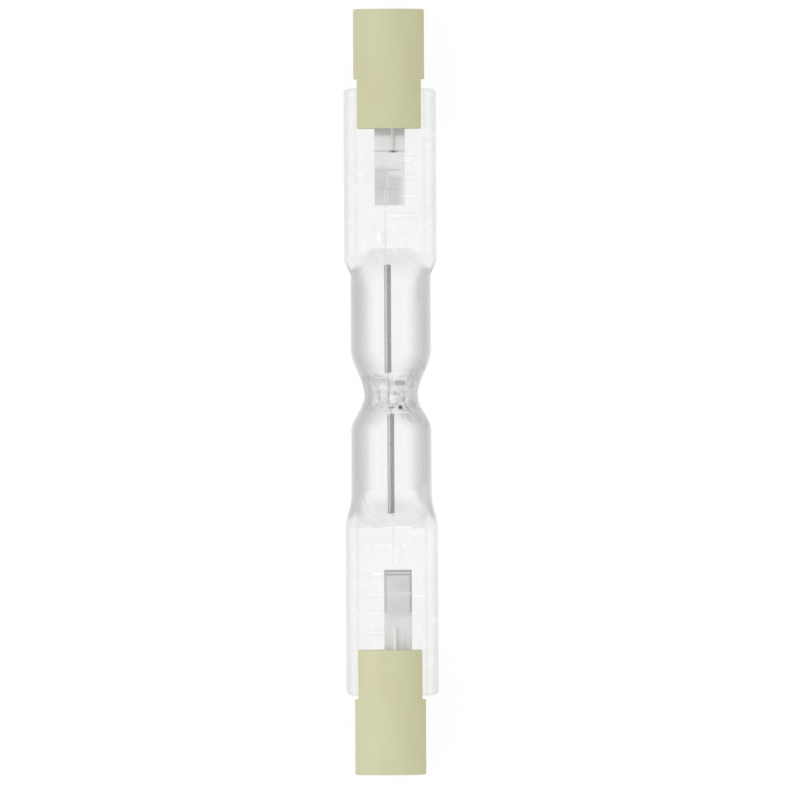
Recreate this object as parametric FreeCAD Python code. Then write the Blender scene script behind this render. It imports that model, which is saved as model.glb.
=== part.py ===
"""Linear halogen bulb: a quartz tube with two filament chambers, pinched flat at both ends.

All sizes are in millimetres. The lamp lies on its side. X runs along it, Z is normal to the
flat pinch seals, and the sealed-off exhaust tip faces up. The origin is under the middle of
the lamp, on the surface that its two chambers rest on.
"""
import FreeCAD, Part
import math
import os

from FreeCAD import Vector

# Whole lamp. A 78 mm lamp measures 74.9 mm from one recessed contact to the other.
OVERALL_LENGTH = 78.3

# Ceramic caps. Fired parts differ a little in length.
CAP_LENGTH_RIGHT = 12.2
CAP_LENGTH_LEFT = 12.75
CAP_DIAMETER = 7.25
CAP_OUTER_CHAMFER = 0.3
CAP_INNER_CHAMFER = 0.15
SLOT_WIDTH = 2.9
SLOT_DEPTH = 5.05
RECESS_DIAMETER = 4.0
CONTACT_DEPTH = 1.7
SEAT_DIAMETER = 3.6
LEAD_HOLE_DIAMETER = 1.2

# Metal contacts, seated at the bottom of the recesses.
CONTACT_THICKNESS = 0.8
CONTACT_SHANK_LENGTH = 1.6
CONTACT_CLEARANCE = 0.05

# Quartz envelope. Its blades end just short of the floors of the caps' slots, its seals keep
# their length, and the chambers take up what is left between them. Each flank of the waist
# takes up a share of its chamber.
BLADE_END_GAP_RIGHT = 0.9
BLADE_END_GAP_LEFT = 0.35
SEAL_LENGTH_RIGHT = 16.5
SEAL_LENGTH_LEFT = 17.3
CHAMBER_DIAMETER = 8.2
CHAMBER_WALL = 1.0
WAIST_DIAMETER = 5.44
WAIST_WALL = 1.25
WAIST_X = -0.4
WAIST_FLANK_SHARE_RIGHT = 0.4188
WAIST_FLANK_SHARE_LEFT = 0.383
WAIST_CHORDS = 4
CAVITY_CHORDS = 2
CAVITY_DOME_CHORDS = 3

# Domes that close the chambers. The left one is flattened over a longer stretch and spreads.
DOME_LENGTH_RIGHT = 3.3
DOME_LENGTH_LEFT = 4.0
DOME_SPREAD_SHARE_RIGHT = 0.1
DOME_SPREAD_SHARE_LEFT = 1.0
DOME_ANGLES = (0, 18, 35, 50, 64, 76)
CAVITY_DOME_LENGTH = 2.6
CAVITY_FLAT_DIAMETER = 1.2
CAVITY_END_WALL_RIGHT = 1.1
CAVITY_END_WALL_LEFT = 0.9

# Pinch seals: flat blades with a thinner web between two rims.
BLADE_WIDTH = 9.45
BLADE_THICKNESS = 2.6
WEB_THICKNESS = 2.2
RIM_WIDTH = 1.1
RIM_SLOPE = 0.25
BLADE_EDGE_ROUND = 0.45
BLADE_CORNER_ROUND = 0.6
SHOULDER_LENGTH_RIGHT = 2.1
SHOULDER_LENGTH_LEFT = 3.8
SHOULDER_SEAT = 0.3

# Ladder of bars that the press jaws emboss across each web, set back from the blade's end.
BAR_COUNT = 4
BAR_PITCH = 1.95
BAR_SETBACK = 6.5
BAR_LENGTH = 5.8
BAR_FOOT = 0.7
BAR_CREST = 0.3
BAR_HEIGHT = 0.15

# Melted end of the exhaust tube, on the waist.
TIP_BASE_DIAMETER = 3.4
TIP_NECK_DIAMETER = 1.3
TIP_HEIGHT = 1.25
TIP_FLARE_SHARE = 0.3
TIP_CROWN_SHARE = 0.25
TIP_LEAN_LEFT = 22.0
TIP_LEAN_SIDE = 14.0

# Molybdenum foils in the seals, set back from the blades' ends.
FOIL_THICKNESS = 0.04
FOIL_LENGTH = 8.6
FOIL_WIDTH_RIGHT = 3.4
FOIL_WIDTH_LEFT = 2.8
FOIL_SETBACK_RIGHT = 3.4
FOIL_SETBACK_LEFT = 4.3
FOIL_OFFSET_RIGHT = -0.15
FOIL_OFFSET_LEFT = -0.5

# Round leads, welded to the foils with a flat of a tenth of their radius.
OUTER_LEAD_DIAMETER = 0.6
INNER_LEAD_DIAMETER = 0.3
LEAD_WELD_LENGTH_INNER = 1.6
LEAD_WELD_LENGTH_OUTER_RIGHT = 3.6
LEAD_WELD_LENGTH_OUTER_LEFT = 2.7
INNER_LEAD_REACH = 1.0
WELD_FLAT_SHARE = 0.1

# Coiled tungsten filament: one coil in each chamber and a straight leg through the waist.
# The coils end at a distance from the middle of the waist.
FILAMENT_WIRE_DIAMETER = 0.14
FILAMENT_COIL_CLEARANCE = 0.04
FILAMENT_TURNS = 9
FILAMENT_STEPS_PER_TURN = 8
FILAMENT_SIDES = 5
FILAMENT_COIL_END_RIGHT = 2.3
FILAMENT_COIL_END_LEFT = 1.7
FILAMENT_END_GAP = 0.25
FILAMENT_OFFSET = 0.2

# Cement between each cap and its blade.
CEMENT_WIDTH = 5.8
CEMENT_SETBACK = 0.3

# How far a cutting shape runs past the face that it opens.
OVERCUT = 1.0

# Lengths closer than this count as equal.
SAME_LENGTH = 1e-6

# Worked out from the sizes above.
chamber_radius = CHAMBER_DIAMETER / 2
axis_height = chamber_radius
cap_radius = CAP_DIAMETER / 2
half_length = OVERALL_LENGTH / 2
waist_radius = WAIST_DIAMETER / 2
cavity_radius = chamber_radius - CHAMBER_WALL
cavity_waist_radius = waist_radius - WAIST_WALL
outer_lead_radius = OUTER_LEAD_DIAMETER / 2
inner_lead_radius = INNER_LEAD_DIAMETER / 2
foil_top = -outer_lead_radius * (1 - WELD_FLAT_SHARE)
inner_lead_z = foil_top + inner_lead_radius * (1 - WELD_FLAT_SHARE)
coil_radius = inner_lead_radius + FILAMENT_COIL_CLEARANCE + FILAMENT_WIRE_DIAMETER / 2

X_AXIS = Vector(1, 0, 0)
ORIGIN = Vector(0, 0, 0)

SIDES = {
    "right": {
        "sign": 1,
        "cap_length": CAP_LENGTH_RIGHT,
        "blade_end_gap": BLADE_END_GAP_RIGHT,
        "seal_length": SEAL_LENGTH_RIGHT,
        "flank_share": WAIST_FLANK_SHARE_RIGHT,
        "dome_length": DOME_LENGTH_RIGHT,
        "dome_spread": DOME_SPREAD_SHARE_RIGHT,
        "end_wall": CAVITY_END_WALL_RIGHT,
        "shoulder": SHOULDER_LENGTH_RIGHT,
        "foil_width": FOIL_WIDTH_RIGHT,
        "foil_setback": FOIL_SETBACK_RIGHT,
        "foil_offset": FOIL_OFFSET_RIGHT,
        "outer_weld": LEAD_WELD_LENGTH_OUTER_RIGHT,
        "coil_end": FILAMENT_COIL_END_RIGHT,
    },
    "left": {
        "sign": -1,
        "cap_length": CAP_LENGTH_LEFT,
        "blade_end_gap": BLADE_END_GAP_LEFT,
        "seal_length": SEAL_LENGTH_LEFT,
        "flank_share": WAIST_FLANK_SHARE_LEFT,
        "dome_length": DOME_LENGTH_LEFT,
        "dome_spread": DOME_SPREAD_SHARE_LEFT,
        "end_wall": CAVITY_END_WALL_LEFT,
        "shoulder": SHOULDER_LENGTH_LEFT,
        "foil_width": FOIL_WIDTH_LEFT,
        "foil_setback": FOIL_SETBACK_LEFT,
        "foil_offset": FOIL_OFFSET_LEFT,
        "outer_weld": LEAD_WELD_LENGTH_OUTER_LEFT,
        "coil_end": FILAMENT_COIL_END_LEFT,
    },
}

# Places along the lamp, as distances from its middle towards each end.
for measures in SIDES.values():
    measures["slot_floor"] = half_length - measures["cap_length"] + SLOT_DEPTH
    measures["glass_end"] = measures["slot_floor"] - measures["blade_end_gap"]
    measures["dome_end"] = measures["glass_end"] - measures["seal_length"]
    measures["dome_start"] = measures["dome_end"] - measures["dome_length"]
    measures["cavity_end"] = measures["dome_end"] - measures["end_wall"]
    measures["waist"] = measures["sign"] * WAIST_X
    chamber_length = measures["dome_start"] - measures["waist"]
    measures["flank_end"] = measures["waist"] + chamber_length * measures["flank_share"]
    measures["foil_outer_end"] = measures["glass_end"] - measures["foil_setback"]
    measures["foil_inner_end"] = measures["foil_outer_end"] - FOIL_LENGTH


def placed(shape, side):
    """Turn a shape modelled along +X to its own end of the lamp."""
    if side["sign"] > 0:
        return shape
    return shape.mirror(ORIGIN, X_AXIS)


def line(start, end):
    return Part.makeLine(Vector(*start), Vector(*end))


def swell(x_start, y_start, x_end, y_end, chords):
    """A smooth swell in the XY plane: chords through points of a raised cosine."""
    points = []
    for number in range(chords + 1):
        share = number / chords
        rise = (1 - math.cos(math.pi * share)) / 2
        points.append((x_start + (x_end - x_start) * share, y_start + (y_end - y_start) * rise, 0))
    return [line(start, end) for start, end in zip(points, points[1:])]


def dome_edges(x_start, radius, length):
    """Chords of a quarter of an ellipse in the XY plane, then a small flat round the axis."""
    flat = CAVITY_FLAT_DIAMETER / 2
    points = []
    for number in range(CAVITY_DOME_CHORDS + 1):
        angle = math.pi / 2 * number / CAVITY_DOME_CHORDS
        x = x_start + length * math.sin(angle)
        points.append((x, flat + (radius - flat) * math.cos(angle), 0))
    points.append((x_start + length, 0, 0))
    return [line(start, end) for start, end in zip(points, points[1:])]


def revolved(edges):
    """Turn a closed outline in the XY plane about the X axis."""
    face = Part.Face(Part.Wire(Part.__sortEdges__(edges)))
    return face.revolve(ORIGIN, X_AXIS, 360)


def lathe(points):
    """Turn a closed outline of (x, radius) points about the X axis."""
    corners = [(x, radius, 0) for x, radius in points]
    return revolved([line(start, end) for start, end in zip(corners, corners[1:] + corners[:1])])


def rod(radius, x_start, x_end, y=0.0, z=0.0):
    return Part.makeCylinder(radius, x_end - x_start, Vector(x_start, y, z), X_AXIS)


def block(x_start, x_end, width, thickness, y=0.0, z=0.0):
    """A box centred on y and z."""
    corner = Vector(x_start, y - width / 2, z - thickness / 2)
    return Part.makeBox(x_end - x_start, width, thickness, corner)


def ellipse_wire(x, half_width, half_height):
    """An ellipse across the lamp, or a circle where its two halves are alike."""
    centre = Vector(x, 0, 0)
    if abs(half_width - half_height) < SAME_LENGTH:
        curve = Part.Circle(centre, X_AXIS, half_width)
    elif half_width > half_height:
        curve = Part.Ellipse(Vector(x, half_width, 0), Vector(x, 0, half_height), centre)
    else:
        curve = Part.Ellipse(Vector(x, 0, half_height), Vector(x, -half_width, 0), centre)
    return Part.Wire(curve.toShape())


def chambers(side_right, side_left):
    """Both chambers and the waist between them, turned about the axis."""
    right_end = side_right["dome_start"]
    left_end = -side_left["dome_start"]
    right_shoulder = side_right["flank_end"]
    left_shoulder = -side_left["flank_end"]
    waist = swell(left_shoulder, chamber_radius, WAIST_X, waist_radius, WAIST_CHORDS)
    waist += swell(WAIST_X, waist_radius, right_shoulder, chamber_radius, WAIST_CHORDS)
    return revolved(waist + [
        line((left_end, 0, 0), (left_end, chamber_radius, 0)),
        line((left_end, chamber_radius, 0), (left_shoulder, chamber_radius, 0)),
        line((right_shoulder, chamber_radius, 0), (right_end, chamber_radius, 0)),
        line((right_end, chamber_radius, 0), (right_end, 0, 0)),
        line((right_end, 0, 0), (left_end, 0, 0)),
    ])


def dome(side):
    """The chamber's end, pressed from a circle down into the blade."""
    sections = []
    for degrees in DOME_ANGLES:
        angle = math.radians(degrees)
        x = side["dome_start"] + side["dome_length"] * math.sin(angle)
        height = chamber_radius * math.cos(angle)
        grown = chamber_radius + (BLADE_WIDTH / 2 - chamber_radius) * math.sin(angle) ** 2
        width = side["dome_spread"] * grown + (1 - side["dome_spread"]) * height
        sections.append(ellipse_wire(x, width, height))
    return Part.makeLoft(sections, True, True)


def blade(side):
    """One flat seal: a rounded slab with a thinner web, which narrows into the chamber."""
    half_width = BLADE_WIDTH / 2
    seat = chamber_radius - SHOULDER_SEAT
    narrow_x = side["dome_start"]
    wide_x = narrow_x + side["shoulder"]
    corner = BLADE_CORNER_ROUND
    cut = corner * (1 - math.sqrt(0.5))
    end = side["glass_end"]
    upper = [
        line((narrow_x, seat, 0), (wide_x, half_width, 0)),
        line((wide_x, half_width, 0), (end - corner, half_width, 0)),
        Part.Arc(
            Vector(end - corner, half_width, 0),
            Vector(end - cut, half_width - cut, 0),
            Vector(end, half_width - corner, 0),
        ).toShape(),
    ]
    lower = [edge.mirror(ORIGIN, Vector(0, 1, 0)) for edge in upper]
    ends = [
        line((narrow_x, seat, 0), (narrow_x, -seat, 0)),
        line((end, half_width - corner, 0), (end, corner - half_width, 0)),
    ]
    outline = Part.Wire(Part.__sortEdges__(upper + lower + ends))
    slab = Part.Face(outline).extrude(Vector(0, 0, BLADE_THICKNESS))
    slab.translate(Vector(0, 0, -BLADE_THICKNESS / 2))
    rims = []
    for edge in slab.Edges:
        level = edge.BoundBox.ZLength < SAME_LENGTH
        in_chamber = edge.BoundBox.XMax < narrow_x + SAME_LENGTH
        if level and not in_chamber:
            rims.append(edge)
    slab = slab.makeFillet(BLADE_EDGE_ROUND, rims)
    return slab.cut(Part.makeCompound([web_cutter(side, 1), web_cutter(side, -1)]))


def web_cutter(side, face):
    """The trough that the press leaves between the rims, with sloping walls."""
    floor = WEB_THICKNESS / 2
    top = BLADE_THICKNESS
    floor_half = BLADE_WIDTH / 2 - RIM_WIDTH
    rise = BLADE_THICKNESS / 2 - floor
    top_half = floor_half + RIM_SLOPE * (top - floor) / rise
    x = side["dome_start"]
    outline = Part.makePolygon([
        Vector(x, -floor_half, face * floor),
        Vector(x, floor_half, face * floor),
        Vector(x, top_half, face * top),
        Vector(x, -top_half, face * top),
        Vector(x, -floor_half, face * floor),
    ])
    return Part.Face(outline).extrude(Vector(side["glass_end"] - x + OVERCUT, 0, 0))


def bars(side):
    """The embossed ladder: shallow bars with sloping flanks across the web, on both faces."""
    foot = BAR_FOOT / 2
    crest = BAR_CREST / 2
    level = WEB_THICKNESS / 2
    start_y = -BAR_LENGTH / 2
    made = []
    for number in range(BAR_COUNT):
        x = side["glass_end"] - BAR_SETBACK - number * BAR_PITCH
        for face in (1, -1):
            outline = Part.makePolygon([
                Vector(x - foot, start_y, 0),
                Vector(x - foot, start_y, face * level),
                Vector(x - crest, start_y, face * (level + BAR_HEIGHT)),
                Vector(x + crest, start_y, face * (level + BAR_HEIGHT)),
                Vector(x + foot, start_y, face * level),
                Vector(x + foot, start_y, 0),
                Vector(x - foot, start_y, 0),
            ])
            made.append(Part.Face(outline).extrude(Vector(0, BAR_LENGTH, 0)))
    return [placed(bar, side) for bar in made]


def exhaust_tip():
    """The drooping nub where the exhaust tube was melted off."""
    root = waist_radius - WAIST_WALL / 2
    top = waist_radius + TIP_HEIGHT
    base = TIP_BASE_DIAMETER / 2
    neck = TIP_NECK_DIAMETER / 2
    crown = top - neck
    flare = waist_radius + (crown - waist_radius) * TIP_FLARE_SHARE
    nub = lathe([
        (root, 0),
        (root, base),
        (flare, (base + neck) / 2),
        (crown, neck),
        (crown + neck * math.sqrt(0.5), neck * math.sqrt(0.5)),
        (top, neck * TIP_CROWN_SHARE),
        (top, 0),
    ])
    nub.rotate(ORIGIN, Vector(0, 1, 0), -90)
    nub.rotate(Vector(0, 0, root), Vector(0, 1, 0), -TIP_LEAN_LEFT)
    nub.rotate(Vector(0, 0, root), Vector(1, 0, 0), TIP_LEAN_SIDE)
    nub.translate(Vector(WAIST_X, 0, 0))
    return nub


def cavity(side_right, side_left):
    """The gas space inside both chambers and the waist."""
    right_end = side_right["cavity_end"]
    left_end = -side_left["cavity_end"]
    right_dome = right_end - CAVITY_DOME_LENGTH
    left_dome = left_end + CAVITY_DOME_LENGTH
    right_shoulder = side_right["flank_end"]
    left_shoulder = -side_left["flank_end"]
    waist = swell(left_shoulder, cavity_radius, WAIST_X, cavity_waist_radius, CAVITY_CHORDS)
    waist += swell(WAIST_X, cavity_waist_radius, right_shoulder, cavity_radius, CAVITY_CHORDS)
    domes = dome_edges(left_dome, cavity_radius, -CAVITY_DOME_LENGTH)
    domes += dome_edges(right_dome, cavity_radius, CAVITY_DOME_LENGTH)
    return revolved(waist + domes + [
        line((left_dome, cavity_radius, 0), (left_shoulder, cavity_radius, 0)),
        line((right_shoulder, cavity_radius, 0), (right_dome, cavity_radius, 0)),
        line((right_end, 0, 0), (left_end, 0, 0)),
    ])


def foil(side):
    z = foil_top - FOIL_THICKNESS / 2
    return block(side["foil_inner_end"], side["foil_outer_end"], side["foil_width"],
                 FOIL_THICKNESS, side["foil_offset"], z)


def inner_lead(side):
    """From inside the coil's last turns, through the glass, to a weld on the foil."""
    start = side["cavity_end"] - INNER_LEAD_REACH
    end = side["foil_inner_end"] + LEAD_WELD_LENGTH_INNER
    wire = rod(inner_lead_radius, start, end, FILAMENT_OFFSET, inner_lead_z)
    return wire.cut(foil(side))


def shank_end(side):
    """Where the contact's shank ends inside the cap."""
    return half_length - CONTACT_DEPTH - CONTACT_THICKNESS - CONTACT_SHANK_LENGTH


def outer_lead(side):
    """From a weld on the foil, out of the glass and into the contact's shank."""
    start = side["foil_outer_end"] - side["outer_weld"]
    end = half_length - CONTACT_DEPTH - CONTACT_THICKNESS
    wire = rod(outer_lead_radius, start, end)
    return wire.cut(foil(side))


def glass_blank(side_right, side_left):
    """The envelope's outer form, not yet hollow."""
    parts = [dome(side_right), placed(dome(side_left), side_left)]
    for side in (side_right, side_left):
        parts.append(placed(blade(side), side))
        parts.extend(bars(side))
    parts.append(exhaust_tip())
    return chambers(side_right, side_left).multiFuse(parts)


def envelope(blank, side_right, side_left):
    """The quartz: hollow over the filament and closed tight round foils and leads."""
    hollow = [cavity(side_right, side_left)]
    for side in (side_right, side_left):
        for piece in (foil(side), inner_lead(side), outer_lead(side)):
            hollow.append(placed(piece, side))
    return blank.cut(hollow)


def coil_points(x_start, x_end):
    """Points of one coil, which begins and ends at its lowest point."""
    steps = FILAMENT_TURNS * FILAMENT_STEPS_PER_TURN
    points = []
    for step in range(steps + 1):
        angle = 2 * math.pi * step / FILAMENT_STEPS_PER_TURN - math.pi / 2
        points.append(Vector(
            x_start + (x_end - x_start) * step / steps,
            FILAMENT_OFFSET + coil_radius * math.cos(angle),
            inner_lead_z + coil_radius * math.sin(angle),
        ))
    return points


def filament(side_right, side_left):
    """One wire: a coil slipped over each inner lead, and a straight leg through the waist."""
    left_start = FILAMENT_END_GAP - side_left["cavity_end"]
    right_end = side_right["cavity_end"] - FILAMENT_END_GAP
    path = coil_points(left_start, WAIST_X - side_left["coil_end"])
    path += coil_points(WAIST_X + side_right["coil_end"], right_end)
    direction = path[1] - path[0]
    across = direction.cross(Vector(0, 0, 1)).normalize()
    upward = across.cross(direction).normalize()
    ring = []
    for corner in range(FILAMENT_SIDES + 1):
        angle = 2 * math.pi * corner / FILAMENT_SIDES
        offset = across * math.cos(angle) + upward * math.sin(angle)
        ring.append(path[0] + offset * (FILAMENT_WIRE_DIAMETER / 2))
    section = Part.makePolygon(ring)
    return Part.makePolygon(path).makePipeShell([section], True, False, 1)


def ceramic_cap(side):
    """A turned ceramic cap with a recess, a contact seat, a lead hole and a slot for the blade."""
    outer = half_length
    inner = half_length - side["cap_length"]
    face = outer - CONTACT_DEPTH
    seat = face - CONTACT_THICKNESS
    recess_radius = RECESS_DIAMETER / 2
    seat_radius = SEAT_DIAMETER / 2
    hole_radius = LEAD_HOLE_DIAMETER / 2
    body = lathe([
        (inner, hole_radius),
        (inner, cap_radius - CAP_INNER_CHAMFER),
        (inner + CAP_INNER_CHAMFER, cap_radius),
        (outer - CAP_OUTER_CHAMFER, cap_radius),
        (outer, cap_radius - CAP_OUTER_CHAMFER),
        (outer, recess_radius),
        (face, recess_radius),
        (face, seat_radius),
        (seat, seat_radius),
        (seat, hole_radius),
    ])
    slot = block(inner - OVERCUT, side["slot_floor"], CAP_DIAMETER + OVERCUT, SLOT_WIDTH)
    return body.cut(slot)


def contact(side):
    """A headed metal contact: a flat face in its seat and a shank down the lead hole."""
    face = half_length - CONTACT_DEPTH
    back = face - CONTACT_THICKNESS
    head_radius = SEAT_DIAMETER / 2 - CONTACT_CLEARANCE
    shank_radius = LEAD_HOLE_DIAMETER / 2 - CONTACT_CLEARANCE
    tail = shank_end(side)
    button = lathe([
        (tail, 0),
        (tail, shank_radius),
        (back, shank_radius),
        (back, head_radius),
        (face, head_radius),
        (face, 0),
    ])
    return button.cut(rod(outer_lead_radius, tail - OVERCUT, back))


def cement(side):
    """Cement that fills the slot round the blade, short of the tongues' ends."""
    inner = half_length - side["cap_length"]
    fill = block(inner + CEMENT_SETBACK, side["slot_floor"], CEMENT_WIDTH, SLOT_WIDTH)
    fill = fill.cut(blade(side))
    return fill.cut(rod(outer_lead_radius, inner, side["slot_floor"] + OVERCUT))


def write(node, shape):
    """Lift the finished piece so that the lamp stands on z = 0, and save it."""
    shape = shape.copy()
    shape.translate(Vector(0, 0, axis_height))
    shape.exportStep("parts/" + node + ".step")
    solids = len(shape.Solids)
    print(node, "solids", solids, "valid", shape.isValid(), "volume", round(shape.Volume, 4))


def main():
    os.makedirs("parts", exist_ok=True)
    right = SIDES["right"]
    left = SIDES["left"]
    blank = glass_blank(right, left)
    write("quartz_envelope", envelope(blank, right, left))
    write("filament", filament(right, left))
    for name, side in SIDES.items():
        write("inner_lead_" + name, placed(inner_lead(side), side))
        write("foil_" + name, placed(foil(side), side))
        write("outer_lead_" + name, placed(outer_lead(side), side))
        write("ceramic_cap_" + name, placed(ceramic_cap(side), side))
        write("contact_button_" + name, placed(contact(side), side))
        write("cement_" + name, placed(cement(side), side))


main()
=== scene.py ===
import math

import bmesh
import bpy
import numpy as np
from mathutils import Matrix, Vector


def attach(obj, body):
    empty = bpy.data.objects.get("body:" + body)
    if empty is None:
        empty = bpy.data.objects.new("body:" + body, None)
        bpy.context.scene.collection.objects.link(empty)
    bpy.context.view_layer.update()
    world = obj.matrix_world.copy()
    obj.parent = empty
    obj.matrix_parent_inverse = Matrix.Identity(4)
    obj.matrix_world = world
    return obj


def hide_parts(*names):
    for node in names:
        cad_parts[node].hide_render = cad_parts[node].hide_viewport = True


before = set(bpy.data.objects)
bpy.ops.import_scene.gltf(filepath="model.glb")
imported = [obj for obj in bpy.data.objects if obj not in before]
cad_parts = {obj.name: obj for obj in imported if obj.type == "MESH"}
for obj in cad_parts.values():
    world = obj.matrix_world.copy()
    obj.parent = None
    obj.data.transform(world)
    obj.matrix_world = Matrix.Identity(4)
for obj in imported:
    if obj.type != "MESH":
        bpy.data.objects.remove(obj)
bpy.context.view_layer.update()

# Quartz envelope. One fused-silica tube: blown round over the two coils, pinched to a waist
# between them, pressed flat on its foils at both ends, and pumped out through a side tube
# whose melted-off end is the tip on the waist.
AXIS_HEIGHT = 4.1
CHAMBER_RADIUS = 4.1
CHAMBER_WALL = 1.0
WAIST_X = -0.4
WAIST_RADIUS = 2.72
WAIST_WALL = 1.25
WAIST_REACH = (3.6, 4.9)
CRINKLE_STARTS = (-3.0, -2.0)
CRINKLE_STOPS = (1.9, 2.6)
DENT_SPAN = (-2.3, 2.0)
DENT_SIZES = (0.22, 0.6)
DENT_LIFT = 0.2
DOME_START = (9.8, 11.3)
DOME_LENGTH = (4.0, 3.3)
DOME_OVERRUN = 1.02
DOME_SWELL = 0.6
DOME_DRAW_IN = 0.41
SHOULDER_LENGTH = (3.8, 2.1)
SHOULDER_HALF_WIDTH = 3.8
CAVITY_END = (12.9, 13.5)
CAVITY_DOME_LENGTH = 2.9
GLASS_END = 31.07
BLADE_HALF_WIDTH = 4.725
BLADE_HALF_THICKNESS = 1.3
BLADE_EDGE_ROUND = 0.9
BLADE_CORNER_ROUND = 0.6
BLADE_END_ROUND = 0.3
TROUGH_EDGES = (3.2, 3.85)
TROUGH_DEPTH = 0.23
PRESS_LINE_BLEND = 0.9
BAR_CENTRES = 18.75 + 1.95 * np.arange(4)
BAR_HALF_WIDTH = 0.24
BAR_SHIFT = (0.0, -0.7)
BAR_HEIGHT = 0.05
BAR_EXTRA_HEIGHT = 0.09
BAR_EXTRA_RISE = ((0.2, 1.2), (0.4, 1.4))
BAR_ENDS = (2.4, 3.0)
TIP_NECK_RADIUS = 0.65
TIP_BASE_RADIUS = 1.7
TIP_SHOULDER_HEIGHT = 0.6
TIP_LEAN = (-0.375, -0.224, 0.899)
SKIN_SIDES = 168
BORE_SIDES = 112
NOT_ZERO = 1e-6
MERGE_DISTANCE = 2e-7
SHARP_EDGE = math.radians(40)


def stretches(*parts):
    """Places along the lamp: each part (start, end, step) is filled evenly, end to end."""
    filled = []
    for start, end, step in parts:
        count = max(1, round((end - start) / step))
        filled.append(np.linspace(start, end, count, endpoint=False))
    return np.append(np.concatenate(filled), parts[-1][1])


def by_side(x, pair):
    """The left value of a (left, right) pair where x is negative, and the right one elsewhere."""
    return np.where(x < 0, pair[0], pair[1])


def ease(value, low, high):
    """A smooth step: 3 t^2 - 2 t^3, where t goes from 0 at low to 1 at high."""
    t = np.clip((value - low) / (high - low), 0, 1)
    return t * t * (3 - 2 * t)


def rounded_max(a, b, blend):
    """The larger of a and b, with a fillet where they cross: the larger one plus
    (blend - |a - b|)^2 / (4 blend)."""
    near = np.clip(blend - np.abs(a - b), 0, None)
    return np.maximum(a, b) + near * near / (4 * blend)


def round_off(distance, radius):
    """How far a rounded corner falls short: radius - sqrt(radius^2 - distance^2), from 0 on."""
    reach = np.clip(distance, 0, radius)
    return radius - np.sqrt(radius * radius - reach * reach)


def lumps(points, centres, sizes, heights):
    """Sum over the centres of height * exp(-(distance / size)^2), for every point of a grid."""
    total = np.zeros(points.shape[:-1])
    for centre, size, height in zip(centres, sizes, heights):
        squared = ((points - centre) ** 2).sum(axis=-1)
        total += height * np.exp(-squared / size ** 2)
    return total


def tube_radius(x, chamber, waist):
    """A raised cosine from the waist's radius up to the chamber's, over the reach on each side."""
    share = np.clip(np.abs(x - WAIST_X) / np.where(x < WAIST_X, *WAIST_REACH), 0, 1)
    return waist + (chamber - waist) * (1 - np.cos(np.pi * share)) / 2


def waist_dents(points, seed, count, depth):
    """Random lumps and dents, each half a millimetre to one millimetre wide, all round the
    waist."""
    chance = np.random.default_rng(seed)
    along = chance.uniform(*DENT_SPAN, count)
    turn = chance.uniform(0, 2 * np.pi, count)
    radius = np.hypot(points[..., 1], points[..., 2]).min() + DENT_LIFT
    centres = np.stack([along, radius * np.cos(turn), radius * np.sin(turn)], axis=-1)
    sizes = chance.uniform(*DENT_SIZES, count)
    heights = chance.uniform(-depth, depth, count)
    return lumps(points, centres, sizes, heights)


def crinkled(points, seed, count, depth):
    """The points moved straight out from the axis by the dents, which fade to nothing at both
    ends of the waist."""
    x = points[..., 0]
    fade = ease(x, *CRINKLE_STARTS) * (1 - ease(x, *CRINKLE_STOPS))
    outward = points * (0, 1, 1)
    outward = outward / np.maximum(np.linalg.norm(outward, axis=-1, keepdims=True), NOT_ZERO)
    return points + outward * (fade * waist_dents(points, seed, count, depth))[..., None]


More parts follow.
